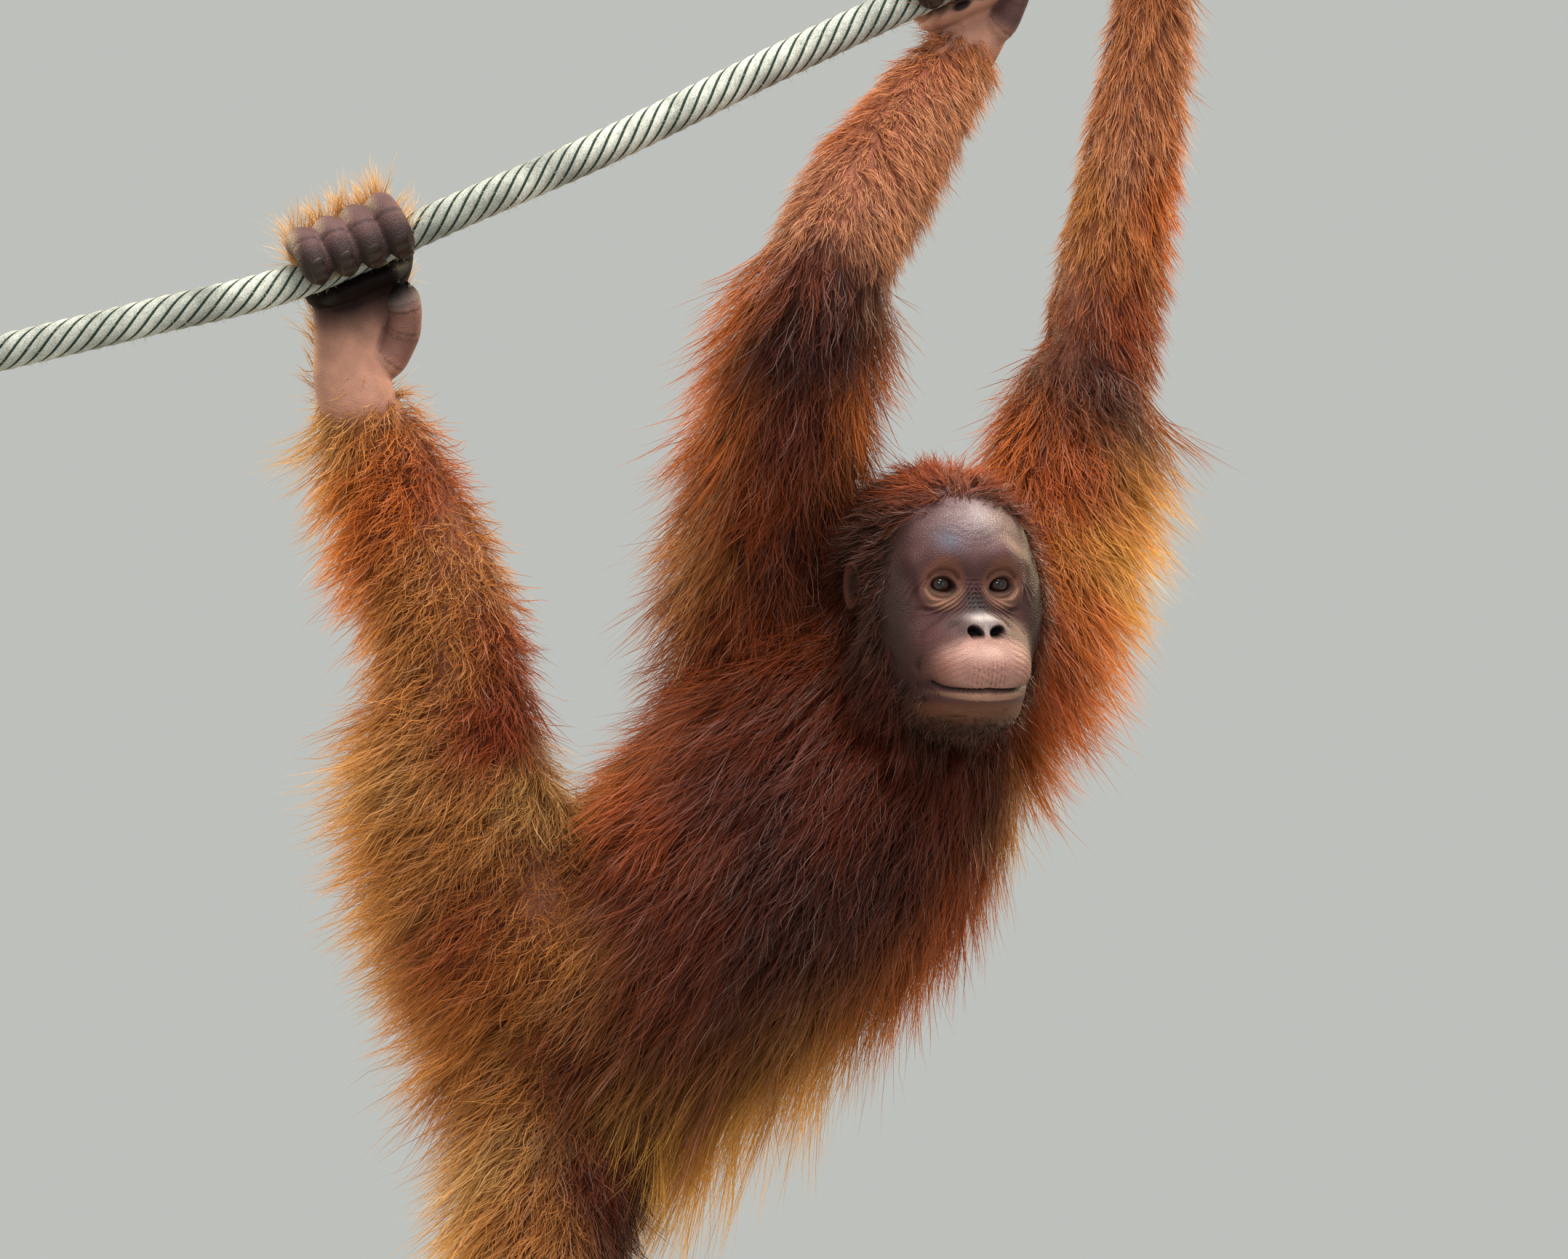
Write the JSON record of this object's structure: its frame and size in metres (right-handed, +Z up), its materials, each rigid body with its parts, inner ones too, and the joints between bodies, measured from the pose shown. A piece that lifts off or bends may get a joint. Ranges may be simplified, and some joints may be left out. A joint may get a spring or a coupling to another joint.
{
  "type": "orangutan",
  "caption": "Young long-haired orangutan hanging by its hands and a raised foot from a short cut rope, as a still life-size model on a display stand.",
  "frame": {"origin": "a point on the underside of the stand's base, under the front view's middle line", "axes": "+Z up, +X to the viewer's right as the animal's front is seen, -Y towards the viewer"},
  "size_m": [0.977, 0.56, 1.511],
  "materials": {
    "coat": "long loose hair",
    "skin": "bare creased skin",
    "face_skin": "dark wrinkled skin with a paler muzzle",
    "eye": "wet and glossy",
    "rope": "laid, worn and fuzzy",
    "stand_base": "satin black paint",
    "stand_rod": "brushed"
  },
  "bodies": {
    "root": {"head": "face_skin", "ear_left": "skin", "ear_right": "skin", "eye_left": "eye", "eye_right": "eye", "neck": "coat", "torso": "coat", "upper_arm_left": "coat", "upper_arm_right": "coat", "forearm_left": "coat", "forearm_right": "coat", "hand_left": "skin", "hand_right": "skin", "thigh_left": "coat", "thigh_right": "coat", "shin_left": "coat", "shin_right": "coat", "foot_left": "skin", "foot_right": "skin", "perch_rope": "rope", "stand_base": "stand_base", "stand_rod": "stand_rod"}
  },
  "joints": []
}
